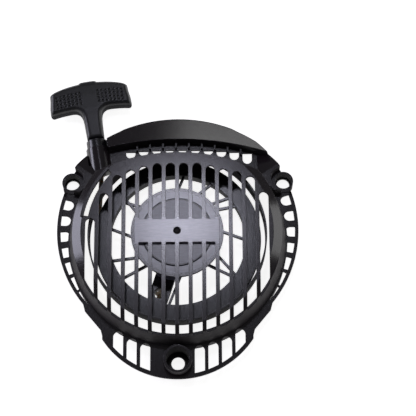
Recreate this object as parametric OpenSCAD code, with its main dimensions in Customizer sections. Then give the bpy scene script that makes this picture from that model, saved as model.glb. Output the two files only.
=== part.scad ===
/* [Housing] */

// Height of the grille face above the mounting plane, mm
grille_z = 46; // [40:0.5:55]

// Radius of the dome at the top of its side wall, mm
dome_r = 105.3; // [96:0.1:112]

// Radius of the dome where it meets the flange, mm
dome_base_r = 110; // [104:0.1:114]

// Radius of the round flange, mm
flange_r = 123; // [118:0.5:130]

// Distance the flange centre sits above the pulley axis, mm
flange_offset = 12; // [8:0.5:16]

// Height of the flange face above the mounting plane, mm
flange_z = 14; // [10:0.5:18]

// Thickness of the flange plate, mm
flange_t = 3; // [2:0.1:4]

// Wall thickness of the moulded shell, mm
wall = 2.6; // [2:0.1:3.5]

// Pitch of the grille slats, mm
slat_pitch = 13.4; // [11:0.1:15]

// Width of one slat, mm
slat_w = 4; // [3:0.1:5]

// Height of the raised crown and the bolt cups, mm
crown_z = 26; // [22:0.5:30]

// Radius of the circle through the three bolt holes, mm
bolt_circle_r = 125.5; // [122:0.5:132]

// Radius of each bolt hole, mm
bolt_hole_r = 6.7; // [4:0.1:7.5]

/* [Pulley] */

// Outer radius of the rope ring, mm
ring_r = 84.6; // [78:0.1:86]

// Radial width of the rope ring, mm
ring_w = 15.8; // [14:0.1:20]

// Radius of the front hub disc, mm
hub_r = 46.5; // [42:0.5:50]

// Inside radius of the spring cup, mm
cup_r = 35.8; // [33:0.1:38]

// Radius of the moulded centre post, mm
post_r = 8.5; // [7:0.1:10]

// Width of one pulley spoke, mm
spoke_w = 2.4; // [1.8:0.1:4]

/* [Rope and handle] */

// Diameter of the starter rope, mm
rope_d = 4.8; // [4:0.1:5]

// Lean of the rope guide and the handle, degrees
handle_lean = 9; // [0:0.5:15]

// Width across the grip, mm
grip_w = 84; // [75:1:100]

// Thickness of the grip front to back, mm
grip_t = 19; // [15:0.5:22]

/* [Drive end] */

// Radius of the steel retainer plate, mm
retainer_r = 30.5; // [29:0.1:33]

// Radius from the axis to each pawl pivot, mm
pawl_pivot_r = 21; // [19:0.1:22]

// Length from a pawl pivot to its tip, mm
pawl_len = 20; // [17:0.1:21]

/* [View] */

// Which piece to draw

/* [Hidden] */

$fn = 96;
eps = 0.02;

// grille
slat_t = 3;
wrap_z = grille_z - 10;
shoulder_r = dome_r - 9;
rim_z = grille_z - 6;
bar_x = 3 * slat_pitch + slat_w / 2;
bar_y = 12;
side_cup_r = 10.2;
top_arc_r = 187;
top_y = 83.5;
slot_w = slat_pitch - slat_w;
tops_r = [72, 71.8, 68.8, 65.3, 62.6, 57, 40.6];
tops_l = [72.1, 71.7, 68.8, 65, 59.2, 40, 13.7];

// crown and flange
lip_arc_r = 295;
lip_y = flange_offset + 94;
crown_arc_r = 142;
crown_cy = -14.4;
tab_r = 90;
tab_cy = -53.4;
tab_x = 75.3;

// pulley stack, heights above the mounting plane
ring_in_r = ring_r - ring_w;
knot_r = ring_in_r - 9.8;
guard_r = ring_r + 4;
ring_z0 = 5;
ring_z1 = 17;
groove_z = 11;
rope_r = rope_d / 2;
coil_1_r = ring_r - 8.5;
coil_2_r = coil_1_r + rope_d + 0.1;
rear_z = 11;
floor_z = 25;
floor_t = 2.5;
disc_z = grille_z - 5.2;
keeper_z = grille_z - 4.2;
cup_wall = 1.8;
sleeve_t = 1;
sleeve_r = post_r + sleeve_t;
bore_r = sleeve_r + 0.07;
post_z0 = 9.5;
well_r = 13.2;
well_z = 15;

// drive end
plate_z = 3.6;
plate_t = 1.6;
pawl_z = 5.7;
pawl_t = 4.9;
pin_r = 3;
stud_r = 1.5;
stud_rest = -38;
tip_rest = -57;
stud_len = sqrt(pow(29.5 * cos(12) - 21, 2) + pow(29.5 * sin(12), 2));

// handle line: starts at the mouth of the guide and leans to the left
guide_x = -84.6;
guide_y = 108.5;
guide_z = 13;
boss_r = 11.7;
collar_r = 10.3;
grip_top = 66.5;
boss_len = 30;
flange_len = 8.5;
spokes = [[81.4, 59.9], [62, 40.3], [51.7, 31.1], [20.7, -0.3], [-16.5, -32.7], [-42, -34.8],
  [-84.6, -97.7], [101, 84.6], [122, 143.7], [152, 140], [179.7, 169.4], [207.8, 197.9],
  [221.7, 215.7]];

function dimple_y(i, j) = 41.5 + j * 4 - pow((9.5 + i * 4.1) / 42, 2) * 4;

module half_ring(r, t, h) {
  rotate_extrude(angle = 180) {
    translate([r, 0]) square([t, h]);
  }
}

module along_handle() {
  translate([guide_x, guide_y, guide_z]) rotate([0, 0, handle_lean]) children();
}

module rod_y(r, y0, y1) {
  translate([0, y0, 0]) rotate([-90, 0, 0]) cylinder(r = r, h = y1 - y0);
}

// plan shapes of the flange

module round_plan(r, ro) {
  intersection() {
    translate([0, flange_offset]) circle(r = r, $fn = 180);
    translate([0, crown_cy]) circle(r = ro, $fn = 180);
  }
}

module tab_plan(inset) {
  intersection() {
    translate([0, tab_cy]) circle(r = tab_r - inset, $fn = 180);
    translate([-tab_x, -160]) square([2 * tab_x, 100]);
  }
}

module flank_plan() {
  polygon([[-100, -48], [-93, -73.8], [-77, -93], [-tab_x + 0.4, -101], [tab_x - 0.4, -101],
    [77, -93], [93, -73.8], [100, -48]]);
}

module outline_plan() {
  round_plan(flange_r, crown_arc_r + 5);
  tab_plan(0);
  flank_plan();
}

// 2-D cut shapes

module grille_slot(k, side) {
  x = side * (k + 0.5) * slat_pitch;
  top = (side > 0 ? tops_r[k] : tops_l[k]);
  cap = top - slot_w / 2;
  split = (k < 3);
  translate([x, cap]) circle(d = slot_w);
  if (split) {
    translate([x - slot_w / 2, bar_y]) square([slot_w, cap - bar_y]);
    translate([x - slot_w / 2, -116]) square([slot_w, 116 - bar_y]);
  } else {
    translate([x - slot_w / 2, -116]) square([slot_w, 116 + cap]);
  }
}

module rope_window() {
  intersection() {
    difference() {
      circle(r = shoulder_r - 1.1);
      circle(r = shoulder_r - 5.9);
    }
    rotate([0, 0, 137]) square([140, 140]);
    rotate([0, 0, 80]) square([140, 140]);
  }
}

module flange_window(x) {
  yi = -121.3 + sqrt(216 * 216 - x * x);
  yo = lip_y - 7.9 - x * x * 0.0008;
  intersection() {
    union() {
      translate([x, yi + 4.8]) circle(d = 9.6);
      translate([x - 4.8, yi + 4.8]) square([9.6, 20]);
    }
    translate([x - 10, yi - 1]) square([20, yo - yi + 1]);
  }
}

module rim_slot(k, side) {
  a = (side > 0 ? 15 : 13.2) - 8.4 * k;
  w = (k < 4 ? 10.8 : 8.2 + 1.3 * k);
  difference() {
    intersection() {
      translate([0, flange_offset]) circle(r = flange_r - 3.5, $fn = 180);
      mirror([side < 0 ? 1 : 0, 0]) {
        translate([0, flange_offset]) {
          rotate([0, 0, a]) {
            translate([109.5 + w / 2, 0]) circle(d = w);
            translate([109.5 + w / 2, -w / 2]) square([20, w]);
          }
        }
      }
    }
    circle(r = dome_base_r + 1.4, $fn = 180);
  }
}

module tab_slot(x) {
  top = -sqrt(pow(dome_base_r + 2, 2) - x * x);
  intersection() {
    tab_plan(4);
    union() {
      translate([x, top - 5]) circle(d = 10);
      translate([x - 5, -160]) square([10, 155 + top]);
    }
  }
}

// solid envelopes of the dome: shrink = 0 outside, wall inside

module dome_body(s, z0, zt) {
  intersection() {
    rotate_extrude($fn = 180) {
      polygon([[0, z0], [dome_base_r - s, z0], [dome_base_r - s, flange_z - s * 0.4],
        [dome_r - s, rim_z - s * 0.5], [shoulder_r - s * 0.4, zt], [0, zt]]);
    }
    translate([0, top_y - top_arc_r, z0]) {
      cylinder(r1 = top_arc_r + (grille_z - z0) * 0.2 - s, r2 = top_arc_r + (grille_z - zt) * 0.2 - s,
        h = zt - z0, $fn = 180);
    }
  }
}

module crown_body(s, z0) {
  rise = crown_z - z0;
  intersection() {
    translate([0, lip_y - lip_arc_r, 0]) {
      rotate([0, 0, 60]) {
        rotate_extrude(angle = 60, $fn = 360) {
          polygon([[lip_arc_r + s, z0], [lip_arc_r + 60, z0], [lip_arc_r + 60, crown_z - 12 - s],
            [lip_arc_r + s, crown_z - s]]);
        }
      }
    }
    translate([0, crown_cy, z0]) {
      cylinder(r1 = crown_arc_r + rise / 3 - s, r2 = crown_arc_r - s, h = rise, $fn = 180);
    }
    translate([0, flange_offset, z0]) {
      cylinder(r1 = flange_r - 1.4 + rise / 12 - s, r2 = flange_r - 1.4 - s, h = rise, $fn = 180);
    }
  }
}

module bolt_places() {
  for (a = [30, 150, 270]) {
    rotate([0, 0, a]) translate([bolt_circle_r, 0, 0]) children();
  }
}

module shoulder(side) {
  // raised land between the crown and the side bolt pocket, ramped down toward the crown
  ramp = atan2(crown_z - flange_z - 2, 20);
  mirror([side < 0 ? 1 : 0, 0, 0]) {
    difference() {
      translate([0, 0, flange_z - 1]) {
        linear_extrude(height = crown_z - flange_z + 1) {
          intersection() {
            translate([0, flange_offset]) circle(r = flange_r - 0.3, $fn = 180);
            polygon([[82, 66], [99, 49], [122, 52], [130, 76], [94, 96], [82, 90]]);
          }
        }
      }
      translate([112, 66, crown_z]) {
        rotate([0, 0, -55]) {
          translate([-15, 0, 0]) rotate([0, -ramp, 0]) translate([-80, -70, 0]) cube([80, 140, 40]);
        }
      }
    }
  }
}

module skirt() {
  // ring below the flange that locates in the blower housing
  intersection() {
    cylinder(r = dome_base_r + 1.2, h = flange_z - 1, $fn = 180);
    translate([0, top_y - top_arc_r, 0]) cylinder(r = top_arc_r + 9.1, h = flange_z, $fn = 180);
  }
}

module window_lip() {
  // raised lip on the outside of the rope window
  intersection() {
    translate([0, 0, grille_z - 4]) {
      rotate_extrude($fn = 180) {
        polygon([[shoulder_r - 1.7, 0], [shoulder_r + 1.7, 0], [shoulder_r + 1.7, 5.8],
          [shoulder_r - 1.7, 5.8]]);
      }
    }
    rotate([0, 0, 136]) cube([140, 140, 60]);
    rotate([0, 0, 81]) cube([140, 140, 60]);
  }
}

module guide_room() {
  // the crown and the left land stop on each side of the guide
  along_handle() translate([-boss_r + 0.4, 1 - boss_len, 0]) cube([2 * boss_r - 0.8, 60, 40]);
}

module window_webs() {
  // small webs between the flange windows, running up the wall of the crown
  for (k = [-4:4]) {
    x = (k + 1) * 13.4 - 1.7;
    y = lip_y - lip_arc_r + sqrt(lip_arc_r * lip_arc_r - x * x);
    translate([x - 0.9, y - 7, flange_z - 0.5]) cube([1.8, 7.8, 5.5]);
  }
}

module guard_rib() {
  // round rib outside the rope ring
  intersection() {
    translate([0, 0, ring_z1 + 0.6]) {
      difference() {
        cylinder(r = guard_r + 1.6, h = wrap_z - ring_z1 - 0.8, $fn = 180);
        translate([0, 0, -1]) cylinder(r = guard_r, h = 60, $fn = 180);
      }
    }
    dome_body(0.6, flange_z - 2, grille_z - 0.5);
  }
}

module shell_outside() {
  dome_body(0, flange_z - flange_t + 0.5, grille_z);
  translate([0, 0, flange_z - flange_t]) linear_extrude(height = flange_t) outline_plan();
  difference() {
    union() {
      crown_body(0, flange_z - 1);
      shoulder(1);
      shoulder(-1);
    }
    guide_room();
  }
  window_webs();
  skirt();
  window_lip();
  for (a = [30, 150]) {
    rotate([0, 0, a]) translate([bolt_circle_r, 0, 0]) cylinder(r = side_cup_r, h = flange_z + 0.6);
  }
  rotate([0, 0, 270]) translate([bolt_circle_r, 0, 0]) cylinder(r = 14, h = crown_z);
  along_handle() rod_y(boss_r, -9 - boss_len, -9);
}

module shell_cuts() {
  // hollow under the dome and inside the skirt, then under the crown
  dome_body(wall, -1, grille_z - slat_t);
  difference() {
    crown_body(wall, flange_z - flange_t - 1);
    translate([0, top_y - top_arc_r, 0]) cylinder(r = top_arc_r + 23, h = 60, $fn = 180);
    along_handle() translate([-70, -60, -30]) cube([72 + boss_r, 110, 70]);
  }
  // grille, which runs down the lower side of the dome
  translate([0, 0, wrap_z]) {
    linear_extrude(height = 20) {
      for (k = [0:6]) {
        grille_slot(k, 1);
        grille_slot(k, -1);
      }
    }
  }
  translate([0, 0, grille_z - 8]) linear_extrude(height = 20) rope_window();
  // flange openings
  translate([0, 0, -1]) {
    linear_extrude(height = flange_z + 2) {
      for (k = [-4:5]) {
        flange_window((k + 0.5) * 13.4 - 1.7);
      }
      for (k = [0:6]) {
        rim_slot(k, 1);
        rim_slot(k, -1);
      }
      for (x = [-59.4, -45.9, -32.4, 21.8, 35.3, 48.8, 62.3]) {
        tab_slot(x);
      }
    }
  }
  // bolt cups: one round at the bottom, two open to the outside
  bolt_places() translate([0, 0, -1]) cylinder(r = bolt_hole_r, h = 50);
  rotate([0, 0, 270]) translate([bolt_circle_r, 0, 2.6]) cylinder(r = 11.6, h = 50);
  for (s = [-1, 1]) {
    translate([s * bolt_circle_r * cos(30), bolt_circle_r * sin(30), 0]) {
      translate([0, 0, 2.6]) cylinder(r = side_cup_r - 1.9, h = 50);
      translate([0, 0, flange_z + 1]) cylinder(r = 13, h = 50);
      translate([s > 0 ? 2 : -42, -7, flange_z + 1]) cube([40, 18, 50]);
    }
  }
  // guide bore, flared where the rope comes in
  along_handle() {
    rod_y(6, -9 - boss_len + 16, 1);
    rod_y(3.4, -60, 1);
    rod_y(5.2, -60, -9 - boss_len + 6);
  }
  // dimple in the middle of the bar
  translate([0, 0, grille_z - 0.7]) cylinder(r = 3.9, h = 5);
  translate([0, 0, grille_z - 2]) {
    difference() {
      cylinder(r = 3.4, h = 5);
      translate([0, 0, -1]) cylinder(r = 1.6, h = 7);
    }
  }
}

module centre_post() {
  difference() {
    union() {
      translate([0, 0, post_z0]) cylinder(r = post_r, h = grille_z - 1.5 - post_z0);
      translate([0, 0, grille_z - slat_t - 1.4]) cylinder(r = post_r + 4, h = 2.2);
    }
    translate([0, 0, post_z0 - 1]) cylinder(r = 2.6, h = 24);
    translate([-1, -post_r - 1, floor_z + 4]) cube([2, post_r + 1, 9]);
  }
}

module housing() {
  color([0.13, 0.12, 0.14]) {
    difference() {
      shell_outside();
      shell_cuts();
    }
    centre_post();
    guard_rib();
  }
}

module rope_guide() {
  color([0.2, 0.2, 0.22]) {
    along_handle() {
      difference() {
        union() {
          rod_y(collar_r, -8.9, -8.9 + flange_len);
          rod_y(6, -9 - boss_len + 16.2, -8.8);
        }
        rod_y(3.1, -40, 5);
      }
    }
  }
}

module pivot_sleeve() {
  color([0.72, 0.73, 0.75]) {
    difference() {
      translate([0, 0, well_z + 0.2]) cylinder(r = sleeve_r, h = floor_z + floor_t - well_z);
      translate([0, 0, 0]) cylinder(r = post_r, h = 60);
    }
  }
}

module spoke(a0, a1) {
  x0 = (cup_r + 1) * cos(a0);
  y0 = (cup_r + 1) * sin(a0);
  x1 = (ring_in_r + 1) * cos(a1);
  y1 = (ring_in_r + 1) * sin(a1);
  len = sqrt(pow(x1 - x0, 2) + pow(y1 - y0, 2));
  translate([x0, y0, rear_z + 0.1]) {
    rotate([0, 0, atan2(y1 - y0, x1 - x0)]) {
      translate([0, -spoke_w / 2, 0]) cube([len, spoke_w, 3.9]);
    }
  }
}

module pawl_places() {
  for (a = [0, 180]) {
    rotate([0, 0, a]) translate([pawl_pivot_r, 0, 0]) children();
  }
}

module pulley() {
  color([0.16, 0.16, 0.18]) {
    difference() {
      union() {
        // rope ring with its groove
        rotate_extrude($fn = 180) {
          polygon([[ring_in_r, ring_z0], [ring_r, ring_z0], [ring_r, ring_z0 + 1.8],
            [coil_1_r - rope_r - 0.15, ring_z0 + 2.4], [coil_1_r - rope_r - 0.15, ring_z1 - 2.4],
            [ring_r, ring_z1 - 1.8], [ring_r, ring_z1], [ring_in_r, ring_z1]]);
        }
        for (s = spokes) {
          spoke(s[0] + 0, s[1] + 0);
        }
        // hub cup, front disc and bearing tube
        translate([0, 0, rear_z]) cylinder(r = cup_r + cup_wall, h = disc_z - rear_z);
        translate([0, 0, disc_z - 3]) cylinder(r = hub_r, h = 3);
        // knot block
        rotate([0, 0, 252]) translate([cup_r, -10, rear_z - 3]) cube([ring_in_r + 1 - cup_r, 20, 7]);
        // pawl pins
        pawl_places() translate([0, 0, pawl_z + 0.4]) cylinder(r = pin_r, h = rear_z - pawl_z);
      }
      // spring chamber
      translate([0, 0, floor_z + floor_t]) cylinder(r = cup_r, h = 40);
      // relief behind the chamber floor
      difference() {
        translate([0, 0, rear_z + 3]) cylinder(r = cup_r, h = floor_z - rear_z - 3);
        cylinder(r = well_r + 2.2, h = 60);
      }
      // friction spring well and bearing bore
      translate([0, 0, rear_z - 1]) cylinder(r = well_r, h = well_z - rear_z + 1);
      cylinder(r = bore_r, h = 60);
      // knot pocket and rope hole
      rotate([0, 0, 252]) {
        translate([knot_r, 0, groove_z]) sphere(r = 5.6);
        translate([knot_r, 0, groove_z]) cylinder(r = 5.6, h = 12);
        translate([knot_r, 0, groove_z]) rotate([0, 90, 0]) cylinder(r = rope_r + 0.3, h = 30);
      }
      // seats of the pawl springs
      pawl_places() {
        difference() {
          translate([0, 0, rear_z - 1]) cylinder(r = 6.2, h = 3);
          translate([0, 0, rear_z - 2]) cylinder(r = pin_r, h = 5);
        }
      }
    }
  }
}

module spring_keeper() {
  color([0.2, 0.2, 0.22]) {
    difference() {
      union() {
        translate([0, 0, keeper_z - 1.6]) cylinder(r = cup_r - 0.9, h = 1.6);
        translate([0, 0, keeper_z - 3.4]) cylinder(r = cup_r - 0.3, h = 2);
      }
      translate([0, 0, keeper_z - 4]) cylinder(r = cup_r - 2.2, h = 2.4);
      translate([0, 0, keeper_z - 5]) cylinder(r = post_r + 5, h = 10);
    }
  }
}

module recoil_spring() {
  // flat strip wound as half turns about two centres
  z0 = floor_z + floor_t + 0.4;
  h = keeper_z - 3.8 - z0;
  step = 2.6;
  t = 0.8;
  turns = floor((cup_r - post_r - 2.5 - step / 2) / step);
  color([0.35, 0.36, 0.38]) {
    translate([0, 0, z0]) {
      for (i = [0:turns - 1]) {
        half_ring(post_r + 1 + i * step, t, h);
        translate([step / 2, 0, 0]) rotate([0, 0, 180]) half_ring(post_r + 1 + step / 2 + i * step, t, h);
      }
    }
  }
}

module rope_coil() {
  color([0.88, 0.84, 0.76]) {
    translate([0, 0, groove_z]) {
      rotate_extrude($fn = 180) {
        translate([coil_1_r, 0]) circle(r = rope_r + 0.06, $fn = 32);
      }
      rotate([0, 0, 181]) {
        rotate_extrude(angle = 333, $fn = 180) {
          translate([coil_2_r, 0]) circle(r = rope_r + 0.06, $fn = 32);
        }
      }
    }
  }
}

module rope_knot() {
  color([0.88, 0.84, 0.76]) {
    rotate([0, 0, 252]) {
      translate([knot_r, 0, groove_z]) {
        sphere(r = 5);
        rotate([0, 90, 0]) cylinder(r = rope_r, h = coil_1_r - rope_r - knot_r - 0.3);
        translate([0, 0, 3]) cylinder(r = rope_r, h = 7);
      }
    }
  }
}

module rope_run() {
  // from just clear of the turning coil to the guide, then along the guide into the grip
  y0 = -9 - boss_len + 0.5;
  gx = guide_x - sin(handle_lean) * y0;
  gy = guide_y + cos(handle_lean) * y0;
  dx = gx + coil_2_r + 0.25;
  lean = atan2(-dx, gy - 1);
  reach = sqrt(dx * dx + pow(gy - 1, 2) + pow(guide_z - groove_z, 2));
  clear_r = coil_2_r + rope_r + 0.5;
  skip = sqrt(pow(clear_r, 2) - pow(coil_2_r - rope_r, 2)) + 2.5;
  color([0.88, 0.84, 0.76]) {
    union() {
      translate([-coil_2_r - 0.25, 1, groove_z]) {
        rotate([0, 0, lean]) {
          rotate([-90 + atan2(guide_z - groove_z, gy - 1), 0, 0]) {
            translate([0, 0, skip]) cylinder(r = rope_r - 0.1, h = reach - skip);
          }
        }
      }
      translate([gx, gy, guide_z]) sphere(r = rope_r + 0.05);
      along_handle() rod_y(rope_r - 0.1, y0, grip_top - 12.5);
    }
  }
}

module grip_plan() {
  // wings between a top arc and a lower edge, then the stem with its flare
  h = grip_w / 2;
  difference() {
    intersection() {
      translate([0, grip_top - 96]) circle(r = 96, $fn = 180);
      translate([-h, 29]) square([grip_w, 45]);
    }
    for (s = [-1, 1]) {
      translate([s * 30, -56.5]) circle(r = 90, $fn = 180);
      translate([s * (h + 58.6), 48]) circle(r = 60, $fn = 120);
    }
    translate([-60, 20]) square([120, 12.2 - 1.4]);
  }
  polygon([[-7.8, 1.2], [7.8, 1.2], [8.2, 22], [10.5, 30], [16.5, 35.5], [16.5, 40], [-16.5, 40],
    [-16.5, 35.5], [-10.5, 30], [-8.2, 22]]);
}

module handle_grip() {
  color([0.24, 0.24, 0.26]) {
    along_handle() {
      difference() {
        intersection() {
          translate([0, 0, -grip_t / 2]) linear_extrude(height = grip_t) grip_plan();
          // waisted side profile
          rotate([90, 0, 90]) {
            linear_extrude(height = grip_w + 10, center = true) {
              polygon([[0, -7], [22, -7.8], [34, -grip_t / 2], [61, -grip_t / 2],
                [grip_top - 0.5, -grip_t / 2 + 4], [grip_top + 1, 0], [grip_top - 0.5, grip_t / 2 - 4],
                [61, grip_t / 2], [34, grip_t / 2], [22, 7.8], [0, 7]]);
            }
          }
        }
        rod_y(rope_r + 0.25, -1, grip_top);
        rod_y(6.6, grip_top - 13, grip_top + 9);
        // grip dimples, front and back
        for (s = [-1, 1]) {
          for (i = [0:7]) {
            for (j = [0:3]) {
              for (z = [-1, 1]) {
                translate([s * (9.5 + i * 4.1), dimple_y(i, j), z * grip_t / 2]) {
                  cylinder(r = 1, h = 1.4, center = true);
                }
              }
            }
          }
        }
      }
    }
  }
}

module handle_plug() {
  color([0.2, 0.2, 0.22]) {
    along_handle() rod_y(6.5, grip_top - 2.9, grip_top - 0.6);
  }
}

module handle_knot() {
  color([0.88, 0.84, 0.76]) {
    along_handle() translate([0, grip_top - 7.8, 0]) sphere(r = 4.5);
  }
}

module retainer_plate() {
  color([0.78, 0.79, 0.8]) {
    difference() {
      union() {
        translate([0, 0, plate_z]) cylinder(r = retainer_r, h = plate_t);
        // dished centre that seats on the post
        translate([0, 0, plate_z]) cylinder(r = 12.6, h = 9.2 - plate_z);
        translate([0, 0, plate_z - 0.8]) cylinder(r = 15, h = 0.9);
        for (a = [90, 270]) {
          rotate([0, 0, a]) translate([23, 0, plate_z - 0.8]) cylinder(r = 4.8, h = 0.9);
        }
      }
      translate([0, 0, 0]) cylinder(r = 11.2, h = 8);
      cylinder(r = 3.07, h = 20);
      for (a = [90, 270]) {
        rotate([0, 0, a]) translate([23, 0, 0]) cylinder(r = 3.5, h = 10);
      }
      // slots that steer the pawl studs, and two spare ones
      for (a = [-12, 78, 168, 258]) {
        rotate([0, 0, a]) translate([27, -2, 0]) cube([8, 4, 10]);
      }
    }
  }
}

module brake_spring() {
  color([0.6, 0.61, 0.62]) {
    translate([0, 0, 10.3]) {
      rotate_extrude() translate([11.5, 0]) circle(r = 0.65, $fn = 16);
      translate([0, 0, 1.2]) rotate_extrude() translate([11.5, 0]) circle(r = 0.65, $fn = 16);
      translate([0, 0, 2.4]) rotate_extrude() translate([11.5, 0]) circle(r = 0.65, $fn = 16);
    }
  }
}

module brake_washer() {
  color([0.7, 0.7, 0.72]) {
    difference() {
      translate([0, 0, well_z - 1.2]) cylinder(r = well_r - 0.3, h = 1.1);
      cylinder(r = sleeve_r + 0.4, h = 40);
    }
  }
}

module pawl_solid() {
  // pivot eye, arm and hooked tip, with the stud on its rear face
  difference() {
    union() {
      translate([0, 0, pawl_z]) {
        linear_extrude(height = pawl_t) {
          circle(r = 5.2);
          rotate([0, 0, tip_rest]) {
            polygon([[1, -4.4], [pawl_len - 3, -3.4], [pawl_len, -1.6], [pawl_len, 2.6],
              [pawl_len - 5, 2.2], [1, 4.4]]);
          }
          rotate([0, 0, stud_rest]) translate([1, -2.2]) square([stud_len + 0.8, 4.4]);
        }
      }
      rotate([0, 0, stud_rest]) translate([stud_len, 0, plate_z - 0.4]) cylinder(r = stud_r, h = 4);
    }
    translate([0, 0, pawl_z - 1]) cylinder(r = pin_r + 0.06, h = pawl_t + 2);
  }
}

module pawl_1() {
  color([0.55, 0.56, 0.58]) translate([pawl_pivot_r, 0, 0]) pawl_solid();
}

module pawl_2() {
  color([0.55, 0.56, 0.58]) rotate([0, 0, 180]) translate([pawl_pivot_r, 0, 0]) pawl_solid();
}

module pawl_spring_solid() {
  translate([0, 0, rear_z + 0.75]) {
    rotate_extrude() translate([4.7, 0]) circle(r = 0.45, $fn = 16);
    translate([0, 0, 0.8]) rotate_extrude() translate([4.7, 0]) circle(r = 0.45, $fn = 16);
  }
}

module pawl_spring_1() {
  color([0.75, 0.75, 0.77]) translate([pawl_pivot_r, 0, 0]) pawl_spring_solid();
}

module pawl_spring_2() {
  color([0.75, 0.75, 0.77]) rotate([0, 0, 180]) translate([pawl_pivot_r, 0, 0]) pawl_spring_solid();
}

module screw_washer() {
  color([0.8, 0.8, 0.82]) {
    difference() {
      translate([0, 0, 6.8]) cylinder(r = 9, h = 1);
      cylinder(r = 3.1, h = 20);
    }
  }
}

module centre_screw() {
  color([0.8, 0.8, 0.82]) {
    translate([0, 0, 1.6]) cylinder(r = 5.8, h = 4.2, $fn = 6);
    translate([0, 0, 5.7]) cylinder(r = 7.5, h = 1);
    translate([0, 0, 6.6]) cylinder(r = 3, h = 4);
    translate([0, 0, 9.6]) cylinder(r = 2.55, h = 20);
  }
}

housing();
rope_guide();
pivot_sleeve();
pulley();
spring_keeper();
recoil_spring();
rope_coil();
rope_knot();
rope_run();
handle_grip();
handle_plug();
handle_knot();
retainer_plate();
brake_spring();
brake_washer();
pawl_1();
pawl_2();
pawl_spring_1();
pawl_spring_2();
screw_washer();
centre_screw();
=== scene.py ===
import logging
import math
from collections.abc import Callable
from dataclasses import dataclass
from enum import Enum

import bmesh
import bpy
import numpy as np
from mathutils import Matrix, Vector


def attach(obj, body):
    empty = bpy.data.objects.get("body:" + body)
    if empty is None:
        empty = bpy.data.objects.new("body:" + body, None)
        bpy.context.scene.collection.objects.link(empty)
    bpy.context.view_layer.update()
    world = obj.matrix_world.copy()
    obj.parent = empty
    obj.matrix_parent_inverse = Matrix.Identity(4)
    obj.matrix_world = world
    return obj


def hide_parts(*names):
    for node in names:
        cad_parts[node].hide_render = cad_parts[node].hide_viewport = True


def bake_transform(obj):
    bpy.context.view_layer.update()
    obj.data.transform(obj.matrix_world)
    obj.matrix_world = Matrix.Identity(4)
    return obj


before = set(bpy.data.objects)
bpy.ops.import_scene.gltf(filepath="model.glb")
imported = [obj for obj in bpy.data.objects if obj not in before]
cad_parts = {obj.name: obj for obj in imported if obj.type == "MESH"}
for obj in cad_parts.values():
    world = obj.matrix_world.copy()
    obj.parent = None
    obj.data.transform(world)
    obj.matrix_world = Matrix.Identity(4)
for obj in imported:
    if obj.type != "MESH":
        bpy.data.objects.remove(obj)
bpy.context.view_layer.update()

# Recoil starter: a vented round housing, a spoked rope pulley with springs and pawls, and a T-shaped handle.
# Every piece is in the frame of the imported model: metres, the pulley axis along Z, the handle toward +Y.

MM = 0.001
log = logging.getLogger("recoil_starter")


# ---------------------------------------------------------------- helpers


def linear(hex_colour: str, alpha: float = 1.0) -> tuple[float, float, float, float]:
    """Turn an sRGB hex colour into linear light.

    Args:
        hex_colour: six hex digits with a leading hash.
        alpha: the fourth value of the result.

    Returns:
        Linear red, green, blue and alpha.
    """
    parts = [int(hex_colour[i : i + 2], 16) / 255 for i in (1, 3, 5)]
    lin = [c / 12.92 if c <= 0.04045 else ((c + 0.055) / 1.055) ** 2.4 for c in parts]
    return lin[0], lin[1], lin[2], alpha


def per_mm(size_mm: float) -> float:
    """Noise scale that gives one feature per size_mm when coordinates are in metres."""
    return 1.0 / (size_mm * MM)


def add(
    tree: bpy.types.NodeTree,
    kind: str,
    inputs: dict | None = None,
    **settings: object
) -> bpy.types.Node:
    """Add one shader node with its settings, values and links.

    Args:
        tree: the node tree that takes the node.
        kind: Blender's type name of the node.
        inputs: input name or number to a value, or to the output socket linked to it.
        settings: attributes of the node, such as operation or blend_type.

    Returns:
        The new node.
    """
    node = tree.nodes.new(kind)
    for key, value in settings.items():
        setattr(node, key, value)
    for name, value in (inputs or {}).items():
        if isinstance(value, bpy.types.NodeSocket):
            tree.links.new(value, node.inputs[name])
        else:
            node.inputs[name].default_value = value
    return node


def new_material(name: str) -> tuple[bpy.types.Material, bpy.types.NodeTree]:
    """Start an empty node material.

    Args:
        name: the material's name.

    Returns:
        The material and its cleared node tree.
    """
    material = bpy.data.materials.new(name)
    material.use_nodes = True
    material.node_tree.nodes.clear()
    return material, material.node_tree


def dress(obj: bpy.types.Object, material: bpy.types.Material) -> None:
    """Give every face of an object one material."""
    obj.data.materials.clear()
    obj.data.materials.append(material)


def mesh_piece(
    name: str,
    vertices: np.ndarray,
    faces: list,
    material: bpy.types.Material,
) -> bpy.types.Object:
    """Make a smooth-shaded mesh object from points in millimetres.

    Args:
        name: the piece's name.
        vertices: rows of x, y, z in millimetres.
        faces: tuples of vertex numbers.
        material: the finish of the whole piece.

    Returns:
        The linked object, with its place in its vertices.
    """
    mesh = bpy.data.meshes.new(name)
    mesh.from_pydata((np.asarray(vertices) * MM).tolist(), [], faces)
    mesh.validate()
    mesh.polygons.foreach_set("use_smooth", [True] * len(mesh.polygons))
    obj = bpy.data.objects.new(name, mesh)
    bpy.context.scene.collection.objects.link(obj)
    dress(obj, material)
    return obj


def fix_winding(obj: bpy.types.Object) -> None:
    """Merge doubled points and turn all faces outward."""
    work = bmesh.new()
    work.from_mesh(obj.data)
    bmesh.ops.remove_doubles(work, verts=work.verts, dist=1e-6)
    bmesh.ops.recalc_face_normals(work, faces=work.faces)
    work.to_mesh(obj.data)
    work.free()


def apply_modifiers(obj: bpy.types.Object) -> None:
    """Bake an object's modifiers into its own mesh."""
    graph = bpy.context.evaluated_depsgraph_get()
    done = bpy.data.meshes.new_from_object(obj.evaluated_get(graph))
    obj.modifiers.clear()
    old = obj.data
    obj.data = done
    bpy.data.meshes.remove(old)


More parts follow.
